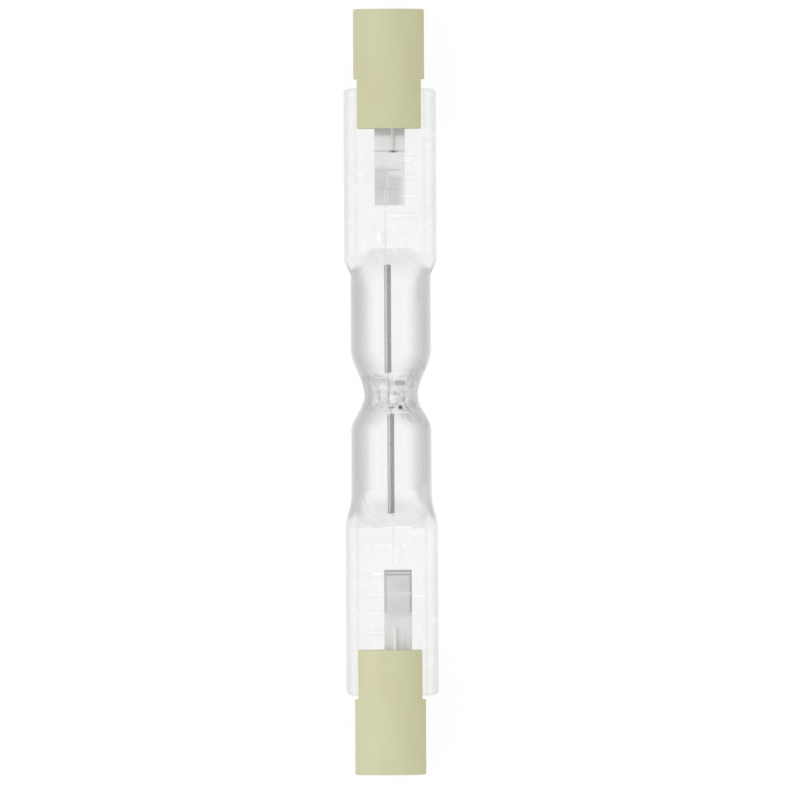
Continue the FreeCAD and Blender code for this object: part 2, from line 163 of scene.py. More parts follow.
def outer_skin():
    """Point (x, W(x) cos v, +-Z): W is the wider of chamber and blade at x, and Z the higher of
    the chamber's arch H (1 - |y / D|^n)^(1 / n) and the pressed blade's profile. Along a dome
    H falls as s^1.7. D is drawn in as s^2.5 at the right end. At the left one it swells as s^2,
    and n grows from 2 to 4 there. The tip is a cone with hollow flanks and half a ball on top,
    drawn out along its lean."""
    x = stretches(
        (-GLASS_END, -30.5, 0.1), (-30.5, -14.2, 0.15), (-14.2, -9.4, 0.09), (-9.4, -4.2, 0.3),
        (-4.2, 4.6, 0.085), (4.6, 11.0, 0.3), (11.0, 15.0, 0.08), (15.0, 30.5, 0.15),
        (30.5, GLASS_END, 0.1),
    )[:, None]
    v = 2 * np.pi * np.arange(SKIN_SIDES)[None, :] / SKIN_SIDES
    distance = np.abs(x)
    start = by_side(x, DOME_START)

    share = (distance - start) / by_side(x, DOME_LENGTH)
    beyond = share > DOME_OVERRUN
    share = np.clip(share, 0, DOME_OVERRUN)
    radius = tube_radius(x, CHAMBER_RADIUS, WAIST_RADIUS)
    level = BLADE_HALF_THICKNESS - TROUGH_DEPTH
    dome_height = np.where(beyond, 0, radius - (radius - level) * share ** 1.7)
    drawn_in = radius * (1 - DOME_DRAW_IN * share ** 2.5)
    dome_width = np.where(beyond, 0, by_side(x, (radius + DOME_SWELL * share ** 2, drawn_in)))
    squareness = by_side(x, (2 + 2 * share, 2 + 0 * share))

    flare = np.clip((distance - start) / by_side(x, SHOULDER_LENGTH), 0, 1)
    blade_width = SHOULDER_HALF_WIDTH + (BLADE_HALF_WIDTH - SHOULDER_HALF_WIDTH) * flare
    to_corner = distance - GLASS_END + BLADE_CORNER_ROUND
    blade_width = blade_width - round_off(to_corner, BLADE_CORNER_ROUND)
    blade_width = np.where(distance < start, 0, blade_width)

    width = np.maximum(dome_width, blade_width)
    y = width * np.cos(v)
    outward_share = np.clip(np.abs(y) / np.maximum(dome_width, NOT_ZERO), 0, 1)
    chamber = dome_height * (1 - outward_share ** squareness) ** (1 / squareness)

    across = np.abs(y)
    blade = BLADE_HALF_THICKNESS
    blade = blade - round_off(across - blade_width + BLADE_EDGE_ROUND, BLADE_EDGE_ROUND)
    blade = blade - round_off(distance - GLASS_END + BLADE_END_ROUND, BLADE_END_ROUND)
    blade = blade - TROUGH_DEPTH * (1 - ease(across, *TROUGH_EDGES))
    strong = by_side(x, (ease(y, *BAR_EXTRA_RISE[0]), ease(-y, *BAR_EXTRA_RISE[1])))
    for centre in BAR_CENTRES:
        ridge = np.exp(-((distance - centre - by_side(x, BAR_SHIFT)) / BAR_HALF_WIDTH) ** 2)
        ridge = ridge * (BAR_HEIGHT + BAR_EXTRA_HEIGHT * strong)
        blade = blade + ridge * (1 - ease(across, *BAR_ENDS))
    blade = np.where((across > blade_width) | (distance < start), 0, blade)

    z = rounded_max(chamber, blade, PRESS_LINE_BLEND)
    z = z * np.where(np.sin(v) < 0, -1, 1)
    points = np.stack(np.broadcast_arrays(x, y, z), axis=-1)
    points = crinkled(points, seed=7, count=90, depth=0.16)

    from_tip = np.hypot(points[..., 0] - WAIST_X, points[..., 1])
    slope = np.clip((TIP_BASE_RADIUS - from_tip) / (TIP_BASE_RADIUS - TIP_NECK_RADIUS), 0, 1)
    crown = np.sqrt(np.clip(TIP_NECK_RADIUS ** 2 - from_tip ** 2, 0, None))
    rise = TIP_SHOULDER_HEIGHT * slope ** 2.2 + crown
    rise = rise * (points[..., 2] > 0)
    points = points + rise[..., None] * np.array(TIP_LEAN)

    first, last = points[:1] * (1, 1, 0), points[-1:] * (1, 1, 0)
    return np.concatenate([first, points, last])


def inner_skin():
    """The gas space: the tube's inner radius turned round the axis, times sqrt(1 - s^2) in its
    domes. It is turned the other way from the outer skin, so that it faces the gas."""
    x = stretches(
        (-CAVITY_END[0], -10.3, 0.12), (-10.3, -4.2, 0.4), (-4.2, 4.6, 0.12),
        (4.6, 10.9, 0.4), (10.9, CAVITY_END[1], 0.12),
    )[:, None]
    v = -2 * np.pi * np.arange(BORE_SIDES)[None, :] / BORE_SIDES
    radius = tube_radius(x, CHAMBER_RADIUS - CHAMBER_WALL, WAIST_RADIUS - WAIST_WALL)
    end = by_side(x, CAVITY_END)
    share = np.clip((np.abs(x) - end + CAVITY_DOME_LENGTH) / CAVITY_DOME_LENGTH, 0, 1)
    radius = radius * np.sqrt(np.clip(1 - share ** 2, 0, None))
    points = np.stack(np.broadcast_arrays(x, radius * np.cos(v), radius * np.sin(v)), axis=-1)
    return crinkled(points, seed=11, count=70, depth=0.22)


def grid_quads(rows, columns):
    """The four corners of each cell of a grid whose last column joins its first."""
    row = np.arange(rows - 1)[:, None] * columns
    column = np.arange(columns)[None, :]
    following = (column + 1) % columns
    corners = (row + column, row + following, row + columns + following, row + columns + column)
    return np.stack(np.broadcast_arrays(*corners), axis=-1).reshape(-1, 4)


def make_piece(name, grids, material, replaced):
    """An object from closed grids of points, in millimetres about the axis. Points that meet
    are merged, so that poles and seams are closed. The attribute "shell" numbers the grids."""
    points = np.concatenate([grid.reshape(-1, 3) for grid in grids])
    counts = [grid.shape[0] * grid.shape[1] for grid in grids]
    starts = np.cumsum([0] + counts[:-1])
    quads = np.concatenate([
        grid_quads(*grid.shape[:2]) + start for grid, start in zip(grids, starts)])
    shells = np.repeat(np.arange(len(grids), dtype=float), counts)
    mesh = bpy.data.meshes.new(name)
    mesh.vertices.add(len(points))
    mesh.vertices.foreach_set("co", ((points + (0, 0, AXIS_HEIGHT)) / 1000).ravel())
    mesh.attributes.new("shell", "FLOAT", "POINT").data.foreach_set("value", shells)
    mesh.loops.add(quads.size)
    mesh.loops.foreach_set("vertex_index", quads.ravel())
    mesh.polygons.add(len(quads))
    mesh.polygons.foreach_set("loop_start", np.arange(len(quads)) * 4)
    mesh.update(calc_edges=True)
    built = bmesh.new()
    built.from_mesh(mesh)
    bmesh.ops.remove_doubles(built, verts=built.verts, dist=MERGE_DISTANCE)
    built.to_mesh(mesh)
    built.free()
    mesh.polygons.foreach_set("use_smooth", np.ones(len(mesh.polygons), bool))
    mesh.set_sharp_from_angle(angle=SHARP_EDGE)
    mesh.materials.append(material)
    piece = bpy.data.objects.new(name, mesh)
    bpy.context.scene.collection.objects.link(piece)
    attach(piece, "root")
    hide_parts(*replaced)
    return piece


def zone_group():
    """A mask that is 1 where Value lies between Low and High, and fades to 0 over Soft on each
    side."""
    group = bpy.data.node_groups.new("zone", "ShaderNodeTree")
    for socket in ("Value", "Low", "High", "Soft"):
        group.interface.new_socket(socket, in_out="INPUT", socket_type="NodeSocketFloat")
    group.interface.new_socket("Mask", in_out="OUTPUT", socket_type="NodeSocketFloat")
    given = group.nodes.new("NodeGroupInput").outputs
    result = group.nodes.new("NodeGroupOutput").inputs

    def maths(operation, first, second):
        """A Math node on two sockets."""
        made = group.nodes.new("ShaderNodeMath")
        made.operation = operation
        group.links.new(first, made.inputs[0])
        group.links.new(second, made.inputs[1])
        return made.outputs["Value"]

    steps = []
    for edge, outside, inside in (("Low", 0, 1), ("High", 1, 0)):
        step = group.nodes.new("ShaderNodeMapRange")
        step.interpolation_type = "SMOOTHSTEP"
        group.links.new(given["Value"], step.inputs["Value"])
        group.links.new(maths("SUBTRACT", given[edge], given["Soft"]), step.inputs["From Min"])
        group.links.new(maths("ADD", given[edge], given["Soft"]), step.inputs["From Max"])
        step.inputs["To Min"].default_value = outside
        step.inputs["To Max"].default_value = inside
        steps.append(step.outputs["Result"])
    group.links.new(maths("MULTIPLY", *steps), result["Mask"])
    return group


ZONE = zone_group()


def grey(level):
    """An opaque grey, from 0 for black to 1 for white."""
    return (level, level, level, 1)


class Finish:
    """A material under construction, with short ways to add its nodes and to link them. A value
    that is handed to one of them may be a plain value or another node's socket."""

    def __init__(self, name, **settings):
        self.material = bpy.data.materials.new(name)
        self.material.use_nodes = True
        self.material.node_tree.nodes.clear()
        self.shader = self.node("ShaderNodeBsdfPrincipled", **settings)
        self.place = self.node("ShaderNodeTexCoord").outputs["Object"]
        axes = self.node("ShaderNodeSeparateXYZ", Vector=self.place)
        self.x, self.y, self.z = (axes.outputs[name] for name in "XYZ")

    def feed(self, socket, value):
        """Link a socket's value to an input, or set the input to a plain value."""
        if isinstance(value, bpy.types.NodeSocket):
            self.material.node_tree.links.new(value, socket)
        else:
            socket.default_value = value

    def node(self, kind, **settings):
        """A new node. A setting named like an input feeds it; the others are properties."""
        made = self.material.node_tree.nodes.new(kind)
        for key, value in settings.items():
            socket = made.inputs.get(key.replace("_", " "))
            if socket is None:
                setattr(made, key, value)
            else:
                self.feed(socket, value)
        return made

    def maths(self, operation, *values):
        """A Math node on one, two or three values."""
        made = self.node("ShaderNodeMath", operation=operation)
        for socket, value in zip(made.inputs, values):
            self.feed(socket, value)
        return made.outputs["Value"]

    def both(self, first, second):
        """The product of two masks."""
        return self.maths("MULTIPLY", first, second)

    def mixed(self, factor, first, second, blend="MIX"):
        """Two colours mixed, or multiplied, by a factor."""
        made = self.node("ShaderNodeMix", data_type="RGBA", blend_type=blend)
        for number, value in ((0, factor), (6, first), (7, second)):
            self.feed(made.inputs[number], value)
        return made.outputs[2]

    def ramp(self, value, stops):
        """Colours looked up by a value; a stop's colour may be given as a single grey."""
        made = self.node("ShaderNodeValToRGB", Fac=value)
        elements = made.color_ramp.elements
        while len(elements) < len(stops):
            elements.new(1)
        for element, (position, colour) in zip(elements, stops):
            element.position = position
            element.color = (*colour, 1) if isinstance(colour, tuple) else grey(colour)
        return made.outputs["Color"]

    def noise(self, scale, detail, stretch=(1, 1, 1)):
        """Noise over the object's own coordinates, drawn out along an axis by a smaller
        stretch."""
        mapped = self.node("ShaderNodeMapping", Vector=self.place, Scale=stretch)
        grain = self.node("ShaderNodeTexNoise", Vector=mapped.outputs["Vector"], Scale=scale,
                          Detail=detail)
        return grain.outputs["Fac"]

    def zone(self, value, low, high, soft):
        """The mask of the zone group, for limits in millimetres."""
        made = self.node("ShaderNodeGroup", node_tree=ZONE, Value=value)
        for name, limit in (("Low", low), ("High", high), ("Soft", soft)):
            made.inputs[name].default_value = limit / 1000
        return made.outputs["Mask"]

    def marked(self, colour, marks):
        """Patches over a colour. Each mark has its limits along and across the lamp and its
        softness, all in millimetres, and its grey."""
        for x_low, x_high, y_low, y_high, soft, level in marks:
            along = self.zone(self.x, x_low, x_high, soft)
            across = self.zone(self.y, y_low, y_high, soft)
            colour = self.mixed(self.both(along, across), colour, grey(level))
        return colour

    def bump(self, height, strength, distance):
        """Relief on the shader's normal, its depth in millimetres."""
        made = self.node("ShaderNodeBump", Height=height, Strength=strength,
                         Distance=distance / 1000)
        self.feed(self.shader.inputs["Normal"], made.outputs["Normal"])

    def done(self, colour, surface=None):
        """Link the base colour and the output, and hand over the material."""
        self.feed(self.shader.inputs["Base Color"], colour)
        self.node("ShaderNodeOutputMaterial", Surface=surface or self.shader.outputs["BSDF"])
        return self.material


# Painted shade on the glass: greys looked up by how far the surface turns from the eye, which
# darken the chambers towards their sides and the blades towards their edges.
CHAMBER_EDGE_SHADE = [
    (0, 0.945), (0.07, 0.93), (0.14, 0.85), (0.23, 0.715), (0.33, 0.615), (0.42, 0.565),
    (0.5, 0.57), (0.62, 0.605), (0.86, 0.8),
]
DOME_FRONT_EDGE_SHADE = [(0, 0.95), (0.1, 0.92), (0.3, 0.85), (0.6, 0.82)]
BLADE_EDGE_SHADE = [(0, 0.935), (0.04, 0.915), (0.12, 0.85), (0.3, 0.82), (1, 0.86)]
# Heights of the bars' crests, where a painted highlight runs as a broken white line.
BAR_CRESTS = (AXIS_HEIGHT + 1.17, AXIS_HEIGHT + 1.35)
BORE_GREY = 0.985
SHADOW_GREY = 0.93
# Painted shade over the waist, standing in for the crinkled glass's refraction: the middle of the
# mottling along the lamp, and its reach from there.
MOTTLING_X = 0.2
MOTTLING_REACH = 2.9
TIP_SPOT_PLACE = (-0.00162, -0.0009, 0.0069)
# Painted shade: dark flares down the sides of the domes, and two pale patches that keep it off the
# dome fronts.
SHOULDER_PAINTED_SHADES = [
    (9.5, 12.3, 3.2, 3.75, 0.35, 0.58),
    (9.5, 12.2, -3.6, -2.9, 0.35, 0.6),
    (-12.4, -9.5, 3.1, 3.75, 0.4, 0.6),
    (-11.2, -9.5, -3.6, -2.9, 0.4, 0.66),
    (12.8, 14.2, 2.7, 4.3, 0.5, 0.87),
    (12.8, 14.2, -4.3, -2.7, 0.5, 0.87),
]
# Painted shade on the waist, with two pale lines at the ends of the mottled area.
WAIST_PAINTED_SHADES = [
    (1.38, 1.48, -1.3, 1.6, 0.06, 0.92),
    (-2.12, -2.02, -1.7, 0.4, 0.06, 0.94),
    (0.7, 1.15, -1.5, -0.4, 0.1, 0.66),
    (-0.4, 0.8, 2.35, 2.65, 0.12, 0.6),
    (-0.8, 1.2, -2.55, -2.2, 0.12, 0.62),
    (-0.9, 0.1, 1.1, 1.3, 0.1, 0.72),
    (-1.0, -0.5, -1.4, -1.2, 0.08, 0.6),
    (-0.45, -0.15, -0.8, -0.2, 0.06, 0.76),
    (1.25, 1.4, 0.2, 1.0, 0.06, 0.8),
]
# Painted highlights as short white lines on the bars and shoulders, and painted shade as grey
# patches beside them.
PRESS_HIGHLIGHTS_AND_SHADE = [
    (15.25, 16.2, 1.0, 1.35, 0.15, 1.0),
    (15.2, 16.4, 0.3, 0.9, 0.25, 0.86),
    (17.93, 18.07, -0.95, 0.3, 0.05, 1.0),
    (19.9, 20.05, -2.0, -1.0, 0.05, 1.0),
    (23.6, 23.75, -2.1, -1.1, 0.05, 1.0),
    (24.22, 24.36, -2.1, -1.1, 0.05, 1.0),
    (-13.9, -13.75, -2.1, 0.7, 0.05, 1.0),
    (-14.45, -14.3, -3.2, -2.0, 0.05, 1.0),
    (-15.75, -15.6, 0.0, 1.8, 0.06, 1.0),
    (-15.9, -15.5, -1.35, -1.1, 0.08, 1.0),
    (-17.1, -16.6, -1.3, -0.6, 0.3, 0.89),
    (-15.5, -15.0, -1.2, 2.8, 0.25, 0.9),
    (-18.7, -18.5, 0.95, 2.1, 0.07, 1.0),
    (-20.95, -20.75, -3.4, -2.15, 0.07, 1.0),
]


def blade_skin(finish, turned_away):
    """The pressed ends: greyed by painted shade towards their edges, faintly clouded and flecked,
    with a painted highlight as a broken white line along each bar's crest, and the listed marks
    of painted highlight and painted shade."""
    skin = finish.ramp(turned_away, BLADE_EDGE_SHADE)
    clouds = finish.ramp(finish.noise(420.0, 3.0), [(0.35, 0.955), (0.65, 1.0)])
    skin = finish.mixed(1.0, skin, clouds, "MULTIPLY")
    flecks = finish.ramp(finish.noise(1300.0, 2.0, (0.6, 1, 1)), [(0.6, 0.0), (0.68, 1.0)])
    skin = finish.mixed(flecks, skin, finish.mixed(0.5, skin, grey(1)))
    # Painted highlight: a broken white line along each bar's crest, over the web.
    in_web = finish.zone(finish.y, -3.1, 3.1, 0.2)
    crest = finish.zone(finish.z, *BAR_CRESTS, 0.03)
    broken = finish.ramp(finish.noise(700.0, 3.0), [(0.42, 0.0), (0.58, 1.0)])
    skin = finish.mixed(finish.both(finish.both(in_web, crest), broken), skin, grey(1))
    return finish.marked(skin, PRESS_HIGHLIGHTS_AND_SHADE)


def chamber_skin(finish, turned_away):
    """The round chambers, with painted shade that greys them towards their sides. Over the middle
    of the domes, which slope to the blades, the painted grey stays light."""
    over_chamber = finish.ramp(turned_away, CHAMBER_EDGE_SHADE)
    over_front = finish.ramp(turned_away, DOME_FRONT_EDGE_SHADE)
    at_side = finish.ramp(finish.zone(finish.y, -2.9, 2.9, 0.7), [(0, 1.0), (1, 0.0)])
    over_dome = finish.mixed(at_side, over_front, over_chamber)
    in_tube = finish.zone(finish.x, -12.0, 11.2, 1.0)
    return finish.mixed(in_tube, over_dome, over_chamber)


def painted_waist_shade(finish, skin):
    """A skin with painted shade over the waist, standing in for the crinkled glass's refraction:
    facets times swirls, where the distance from the waist, with noise added, is within its reach.
    Towards -Y it reaches up to 1.7 mm further."""
    further = finish.node("ShaderNodeMapRange", Value=finish.y)
    limits = (("From Min", -4.1), ("From Max", -0.5), ("To Min", -1.7), ("To Max", 0.0))
    for name, limit in limits:
        further.inputs[name].default_value = limit / 1000
    from_waist = finish.maths("ABSOLUTE", finish.maths("ADD", finish.x, MOTTLING_X / 1000))
    ragged = finish.maths("MULTIPLY_ADD", finish.noise(900.0, 2.0), 0.002, from_waist)
    distance = finish.maths("ADD", further.outputs["Result"], ragged)
    in_waist = finish.zone(distance, -9.0, MOTTLING_REACH, 0.25)
    facets = finish.node("ShaderNodeTexVoronoi", Vector=finish.place, Scale=1500.0)
    facet_grey = finish.node("ShaderNodeSeparateColor", Color=facets.outputs["Color"])
    patches = finish.ramp(facet_grey.outputs["Red"], [(0.0, 0.74), (0.25, 0.94), (0.5, 1.0)])
    swirls = finish.ramp(finish.noise(1300.0, 3.0), [(0.36, 0.9), (0.52, 1.0)])
    pattern = finish.mixed(1.0, patches, swirls, "MULTIPLY")
    skin = finish.mixed(in_waist, skin, finish.mixed(1.0, skin, pattern, "MULTIPLY"))
    return finish.marked(skin, WAIST_PAINTED_SHADES)


def tip_spot(finish, skin):
    """A skin with a black spot beside the tip, and a grey patch by it."""
    apart = finish.node("ShaderNodeVectorMath", operation="DISTANCE", Vector=finish.place)
    apart.inputs[1].default_value = TIP_SPOT_PLACE
    spot = finish.zone(apart.outputs["Value"], -1.0, 0.3, 0.12)
    skin = finish.mixed(spot, skin, grey(0.02))
    along = finish.zone(finish.x, -1.65, -1.45, 0.08)
    across = finish.zone(finish.y, -0.3, 0.25, 0.15)
    return finish.mixed(finish.both(along, across), skin, grey(0.55))


def quartz_glass():
    """Clear fused silica. Painted shade greys it where it turns away from the eye, as clear glass
    looks
    in front of a bright field: strongly over the round chambers, and little over the pressed ends.
    The bore is plain and without gloss, and light passes to the floor with little shadow."""
    finish = Finish("quartz glass", Roughness=0.0, IOR=1.03, Transmission_Weight=1.0,
                    Coat_Roughness=0.03, Coat_IOR=1.5)
    turned_away = finish.node("ShaderNodeLayerWeight", Blend=0.5).outputs["Facing"]
    in_chamber = finish.zone(finish.x, -13.0, 13.2, 0.5)
    skin = finish.mixed(
        in_chamber, blade_skin(finish, turned_away), chamber_skin(finish, turned_away))
    # Painted shade flaring down the domes' sides.
    skin = finish.marked(skin, SHOULDER_PAINTED_SHADES)

    shell = finish.node("ShaderNodeAttribute", attribute_name="shell").outputs["Fac"]
    skin = finish.mixed(shell, skin, grey(BORE_GREY))
    gloss = finish.ramp(shell, [(0, 0.3), (1, 0.0)])
    finish.feed(finish.shader.inputs["Coat Weight"], gloss)

    skin = tip_spot(finish, painted_waist_shade(finish, skin))

    clear = finish.node("ShaderNodeBsdfTransparent", Color=grey(SHADOW_GREY))
    ray = finish.node("ShaderNodeLightPath")
    either = finish.node("ShaderNodeMixShader", Fac=ray.outputs["Is Shadow Ray"])
    finish.feed(either.inputs[1], finish.shader.outputs["BSDF"])
    finish.feed(either.inputs[2], clear.outputs["BSDF"])
    return finish.done(skin, either.outputs["Shader"])


make_piece("envelope", [outer_skin(), inner_skin()], quartz_glass(), ["quartz_envelope"])

# Filament. A fine tungsten wire, wound into a close coil in each chamber, and drawn out
# straight where it passes the waist. The outer end of each coil is clamped on its lead.
COIL_RADIUS = 0.33
COIL_WIRE_RADIUS = 0.055
COIL_WIRE_SIDES = 6
COIL_PITCH = 0.12
COIL_STEPS = 18
COIL_SPANS = ((-12.45, -2.25), (1.95, 13.0))
COIL_Y = (0.055, 0.31)
FILAMENT_Z = -0.135
LEG_SIDES = 8
LEG_SAG = 0.12
# Painted sheen: a paler band along the left side of each coil, the side the key light comes from.
COIL_PAINTED_SHEEN = [
    (1.5, 14.0, 0.4, 1.0, 0.08, 0.7),
    (-13.0, -1.5, 0.13, 0.9, 0.08, 0.69),
]


def tube_along(path, radius, sides):
    """A round tube: at each point of the path, a ring radius * (cos a * S + sin a * U), where S
    and U are square to the path's direction and U stays close to +Z. It is closed by a point at
    each end."""
    direction = np.gradient(path, axis=0)
    direction = direction / np.linalg.norm(direction, axis=1, keepdims=True)
    up = np.array((0.0, 0.0, 1.0)) - direction * direction[:, 2:]
    up = up / np.maximum(np.linalg.norm(up, axis=1, keepdims=True), NOT_ZERO)
    side = np.cross(direction, up)
    angle = 2 * np.pi * np.arange(sides) / sides
    cosine, sine = np.cos(angle)[None, :, None], np.sin(angle)[None, :, None]
    radius = np.broadcast_to(radius, len(path))[:, None, None]
    tube = path[:, None] + radius * (cosine * side[:, None] + sine * up[:, None])
    start = np.repeat(path[:1, None], sides, axis=1)
    end = np.repeat(path[-1:, None], sides, axis=1)
    return np.concatenate([start, tube, end])


def coil_path(start, end, y):
    """A helix about the filament's line: y = R cos a, z = R sin a, with x growing evenly."""
    turns = round((end - start) / COIL_PITCH)
    angle = 2 * np.pi * np.arange(turns * COIL_STEPS + 1) / COIL_STEPS - np.pi / 2
    x = np.linspace(start, end, len(angle))
    return np.stack([
        x,
        y + COIL_RADIUS * np.cos(angle),
        FILAMENT_Z + COIL_RADIUS * np.sin(angle),
    ], axis=-1)


def leg_path():
    """From the lowest point of one coil to that of the other: straight in plan, and sagging by
    S sin^2 in height."""
    start, end = COIL_SPANS[0][1], COIL_SPANS[1][0]
    x = np.linspace(start, end, 40)
    share = (x - start) / (end - start)
    return np.stack([
        x,
        COIL_Y[0] + (COIL_Y[1] - COIL_Y[0]) * share,
        FILAMENT_Z - COIL_RADIUS - LEG_SAG * np.sin(np.pi * share) ** 2,
    ], axis=-1)


def tungsten():
    """Grey recrystallised tungsten, with a painted sheen: paler along the left side of each coil,
    where the key light comes from.
    """
    finish = Finish("tungsten wire", Metallic=1.0, Roughness=0.45)
    wire = finish.ramp(finish.noise(9000.0, 2.0), [(0.35, 0.57), (0.7, 0.65)])
    return finish.done(finish.marked(wire, COIL_PAINTED_SHEEN))


coils = [
    tube_along(coil_path(*span, y), COIL_WIRE_RADIUS, COIL_WIRE_SIDES)
    for span, y in zip(COIL_SPANS, COIL_Y)]
leg = tube_along(leg_path(), COIL_WIRE_RADIUS, LEG_SIDES)
make_piece("coiled_filament", coils + [leg], tungsten(), ["filament"])

# Leads. Molybdenum wires: a thin one from each coil to its foil, and a thick one from the
# foil out to the contact. Each is pressed a little flat where it is welded to the foil.
SIDES = {"left": -1, "right": 1}
FOIL_LEVEL = -0.29
FOIL_HALF_THICKNESS = 0.02
LEAD_SIDES = 24
LEAD_BLUNTNESS = 0.001
INNER_LEAD_RADIUS = 0.05
OUTER_LEAD_RADIUS = 0.3
OUTER_LEAD_NECK = 0.16
OUTER_LEAD_SWELL = (26.5, 27.5)
OUTER_LEAD_BEND = (26.5, 32.0)
WELD_SEAT = 0.9
INNER_LEADS = {
    "left": {"span": (12.1, 18.8), "y": -0.15, "above": -1},
    "right": {"span": (12.65, 20.7), "y": 0.5, "above": 1},
}
OUTER_LEADS = {
    "left": {"span": (24.1, 36.65), "y": -0.33, "above": 1},
    "right": {"span": (24.5, 36.65), "y": -0.3, "above": 1},
}
OUTER_LEAD_MARKS = [
    (24.3, 24.72, -1, 1, 0.08, 0.33),
    (-27.5, -23.5, -0.46, 0.2, 0.03, 0.92),
]


def on_side(grid, side):
    """A grid as it was worked out for the right end, or mirrored for the left one, with its rows
    turned round so that it still faces outwards."""
    return grid[::-1] * (-1, 1, 1) if SIDES[side] < 0 else grid


def lead(radius, neck, span, y, above):
    """A wire with rounded ends, its radius r sqrt(1 - t^2) over the last half radius. It is as
    thin as its neck where it is welded flat on the foil, above it (1) or below it (-1), and
    from there it swells to its full radius and eases to the axis."""
    start, end = span
    tip = radius / 2
    x = stretches(
        (start, start + tip, radius / 12), (start + tip, end - tip, 0.2),
        (end - tip, end, radius / 12))
    inset = np.clip(1 - np.minimum(x - start, end - x) / tip, 0, 1)
    bend = ease(x, *OUTER_LEAD_BEND)
    face = FOIL_LEVEL + above * FOIL_HALF_THICKNESS
    z = (face + above * WELD_SEAT * neck) * (1 - bend)
    path = np.stack([x, y * (1 - bend), z], axis=-1)
    thickness = neck + (radius - neck) * ease(x, *OUTER_LEAD_SWELL)
    thickness = thickness * np.sqrt(1 + LEAD_BLUNTNESS - inset ** 2)
    tube = tube_along(path, thickness, LEAD_SIDES)
    flat = face + above * np.maximum(above * (tube[..., 2] - face), 0)
    tube[..., 2] = np.where(tube[..., 0] < OUTER_LEAD_BEND[0], flat, tube[..., 2])
    return tube


def drawn_molybdenum(name, base, marks):
    """Grey molybdenum wire with fine drawing lines along it, and marked where the weld left it
    bright or burnt."""
    finish = Finish("drawn molybdenum " + name, Metallic=1.0, Roughness=0.75)
    streaks = finish.noise(9000.0, 3.0, (0.01, 1, 1))
    lines = finish.ramp(streaks, [(0.3, base - 0.07), (0.7, min(1, base + 0.07))])
    return finish.done(finish.marked(lines, marks))


thin_metal = drawn_molybdenum("thin", 0.96, [])
thick_metal = drawn_molybdenum("thick", 0.8, OUTER_LEAD_MARKS)
for side in SIDES:
    wire = on_side(lead(INNER_LEAD_RADIUS, INNER_LEAD_RADIUS, **INNER_LEADS[side]), side)
    make_piece("inner_wire_" + side, [wire], thin_metal, ["inner_lead_" + side])
    wire = on_side(lead(OUTER_LEAD_RADIUS, OUTER_LEAD_NECK, **OUTER_LEADS[side]), side)
    make_piece("outer_wire_" + side, [wire], thick_metal, ["outer_lead_" + side])

# Foils. A strip of molybdenum ribbon in each seal, etched to knife edges so that the hot
# glass could close round it. The press left it with faint ripples and creases.
FOIL_LENGTH = 8.6
FOIL_END_TAPER = (-0.001, 0.15)
FOIL_ROWS = 90
FOIL_SIDES = 48
FOILS = {
    "left": {"width": 2.84, "inner_end": 18.2, "offset": -0.6},
    "right": {"width": 3.1, "inner_end": 19.1, "offset": 0.03},
}
FOIL_GREY = {"left": 0.72, "right": 0.7}
# Marks on the foils, and on the right one a painted shadow by the cap's tongue.
FOIL_MARKS_AND_SHADOW = {
    "left": [
        (-27.0, -22.9, -2.1, 0.9, 0.4, 0.8),
        (-22.6, -18.2, 0.5, 0.95, 0.12, 0.6),
        (-22.6, -18.2, -2.05, -1.8, 0.1, 0.5),
        (-18.42, -18.1, -2.1, 1.0, 0.04, 0.48),
        (-18.78, -18.6, -2.1, 1.0, 0.04, 0.5),
        (-20.66, -20.54, -2.0, 0.4, 0.06, 0.8),
        (-26.6, -24.7, -1.36, -1.28, 0.05, 0.65),
        (-27.0, -24.2, -0.2, 0.1, 0.2, 0.87),
    ],
    "right": [
        (23.0, 27.8, -1.9, 1.7, 0.3, 0.86),
        (22.1, 23.1, -1.9, 0.1, 0.3, 0.84),
        # Painted shadow of the cap's tongue on the strip's outer end.
        (26.2, 27.8, -1.9, 1.7, 0.2, 0.66),
        (18.9, 23.0, 0.2, 0.32, 0.1, 0.8),
        (24.6, 24.7, -1.9, 1.7, 0.05, 0.55),
        (24.5, 24.72, -0.78, 0.12, 0.08, 0.45),
        (22.66, 22.76, -1.9, 0.3, 0.05, 0.55),
        (20.7, 20.8, -1.9, 1.7, 0.05, 0.62),
        (18.8, 24.3, -1.9, -1.1, 0.4, 0.86),
    ],
}


def foil_strip(width, inner_end, offset):
    """A lens-shaped section carried along the ribbon: its half thickness is T (1 - |c|^6), where
    c goes from -1 to 1 across, and T eases to nothing at both ends."""
    x = np.linspace(inner_end, inner_end + FOIL_LENGTH, FOIL_ROWS)[:, None]
    v = 2 * np.pi * np.arange(FOIL_SIDES)[None, :] / FOIL_SIDES
    across = np.cos(v)
    to_end = np.minimum(x - inner_end, inner_end + FOIL_LENGTH - x)
    taper = ease(to_end, *FOIL_END_TAPER)
    half = FOIL_HALF_THICKNESS * (1 - np.abs(across) ** 6) * np.sign(np.sin(v)) * taper
    y = offset + across * width / 2
    points = np.stack(np.broadcast_arrays(x, y, FOIL_LEVEL + half), axis=-1)
    first = points[:1] * (1, 1, 0) + (0, 0, FOIL_LEVEL)
    last = points[-1:] * (1, 1, 0) + (0, 0, FOIL_LEVEL)
    return np.concatenate([first, points, last])


def molybdenum_foil(name, base, marks):
    """Satin grey ribbon with faint bands and ripples across it, marked where it is creased, welded
    or stained, and with a painted shadow beside the end of the cap's tongue."""
    finish = Finish("molybdenum foil " + name, Metallic=1.0, Roughness=0.5)
    bands = finish.noise(1.0, 3.0, (700, 260, 260))
    colour = finish.ramp(bands, [(0.3, base - 0.04), (0.7, base + 0.04)])
    finish.bump(bands, 0.2, 0.05)
    return finish.done(finish.marked(colour, marks))


